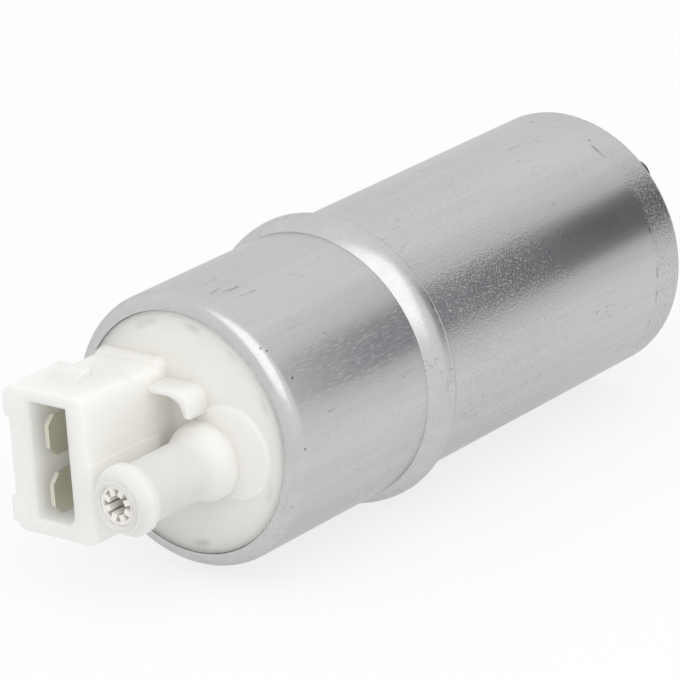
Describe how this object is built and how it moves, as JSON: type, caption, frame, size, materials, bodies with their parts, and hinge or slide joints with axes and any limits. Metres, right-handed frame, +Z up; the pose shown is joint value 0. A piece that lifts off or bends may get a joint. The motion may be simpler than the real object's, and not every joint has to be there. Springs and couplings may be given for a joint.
{
  "type": "electric fuel pump",
  "caption": "In-tank electric fuel pump in an aluminium tube, with a barbed outlet spigot, a two pin plug connector, an inlet port and a strainer peg.",
  "frame": {"origin": "on the pump's axis, where the straight seat behind the tube's bead begins", "axes": "+Y along the axis from the outlet to the inlet, +Z up with the connector's long side upright, +X to the right seen from the outlet"},
  "size_m": [0.0464, 0.1276, 0.0464],
  "materials": {
    "satin_aluminium": "satin, drawn, fine lengthwise scratches",
    "white_acetal": "moulded, satin",
    "ivory_nylon": "moulded, matt",
    "tinned_terminal": "dull tin",
    "seal_rubber": "matt",
    "black_plastic": "glass filled, matt",
    "phenolic": "moulded, matt",
    "carbon": "pressed carbon",
    "copper": "bare copper",
    "enamelled_copper": "lacquered winding wire",
    "ferrite": "sintered, matt",
    "spring_steel": "bright wire and strip",
    "ground_steel": "ground",
    "sintered_steel": "sintered, ground faces",
    "lamination_steel": "stacked sheet",
    "flux_steel": "zinc plated",
    "cast_aluminium": "machined faces",
    "sintered_bronze": "sintered"
  },
  "bodies": {
    "pump": {"housing_tube": "satin_aluminium", "outlet_cap": "white_acetal", "cap_seal_ring": "seal_rubber", "terminal_blade_positive": "tinned_terminal", "terminal_blade_negative": "tinned_terminal", "check_valve_cage": "ivory_nylon", "check_valve_spring": "spring_steel", "brush_holder": "black_plastic", "brush_spring_positive": "spring_steel", "brush_spring_negative": "spring_steel", "brush_lead_positive": "copper", "brush_lead_negative": "copper", "choke_core_positive": "ferrite", "choke_core_negative": "ferrite", "choke_coil_positive": "enamelled_copper", "choke_coil_negative": "enamelled_copper", "outlet_bush": "sintered_bronze", "inlet_bush": "sintered_bronze", "flux_ring": "flux_steel", "magnet_upper": "ferrite", "magnet_lower": "ferrite", "magnet_clips": "spring_steel", "pump_plate": "cast_aluminium", "gear_ring": "sintered_steel", "port_plate": "cast_aluminium", "pump_dowels": "ground_steel", "relief_valve_spring": "spring_steel", "relief_valve_plug": "ground_steel", "inlet_cover": "black_plastic", "cover_seal_ring": "seal_rubber", "thrust_pad": "ground_steel"},
    "rotor": {"armature_shaft": "ground_steel", "thrust_washer": "ground_steel", "commutator_segments": "copper", "commutator_hub": "phenolic", "armature_core": "lamination_steel", "armature_insulators": "phenolic", "armature_winding": "enamelled_copper", "gear_drive_pin": "ground_steel", "inner_gear": "sintered_steel", "impeller": "black_plastic"},
    "outer_gear": {"outer_gear": "sintered_steel"},
    "brush_positive": {"brush_positive": "carbon"},
    "brush_negative": {"brush_negative": "carbon"},
    "check_valve": {"check_valve_poppet": "ivory_nylon"},
    "relief_valve": {"relief_valve_ball": "ground_steel"}
  },
  "joints": [
    {"name": "rotor_spin", "type": "hinge", "parent": "pump", "child": "rotor", "pos_m": [0, 0, 0], "axis": [0, 1, 0], "continuous": true},
    {"name": "outer_gear_spin", "type": "hinge", "parent": "pump", "child": "outer_gear", "pos_m": [0, 0.0423, 0.0014], "axis": [0, 1, 0], "continuous": true},
    {"name": "brush_positive_slide", "type": "slide", "parent": "pump", "child": "brush_positive", "axis": [0, 1, 0], "range_m": [-0.002, 0], "stiffness_N_per_m": 120, "springref_m": 0.006, "deforming": ["brush_spring_positive", "brush_lead_positive"]},
    {"name": "brush_negative_slide", "type": "slide", "parent": "pump", "child": "brush_negative", "axis": [0, 1, 0], "range_m": [-0.002, 0], "stiffness_N_per_m": 120, "springref_m": 0.006, "deforming": ["brush_spring_negative", "brush_lead_negative"]},
    {"name": "check_valve_lift", "type": "slide", "parent": "pump", "child": "check_valve", "axis": [0, -1, 0], "range_m": [0, 0.0015], "stiffness_N_per_m": 60, "springref_m": -0.004, "deforming": ["check_valve_spring"]},
    {"name": "relief_valve_lift", "type": "slide", "parent": "pump", "child": "relief_valve", "axis": [0, 1, 0], "range_m": [0, 0.001], "stiffness_N_per_m": 400, "springref_m": -0.004, "deforming": ["relief_valve_spring"]}
  ],
  "couplings": [
    {"joint": "outer_gear_spin", "follows": "rotor_spin", "ratio": 0.85714}
  ]
}
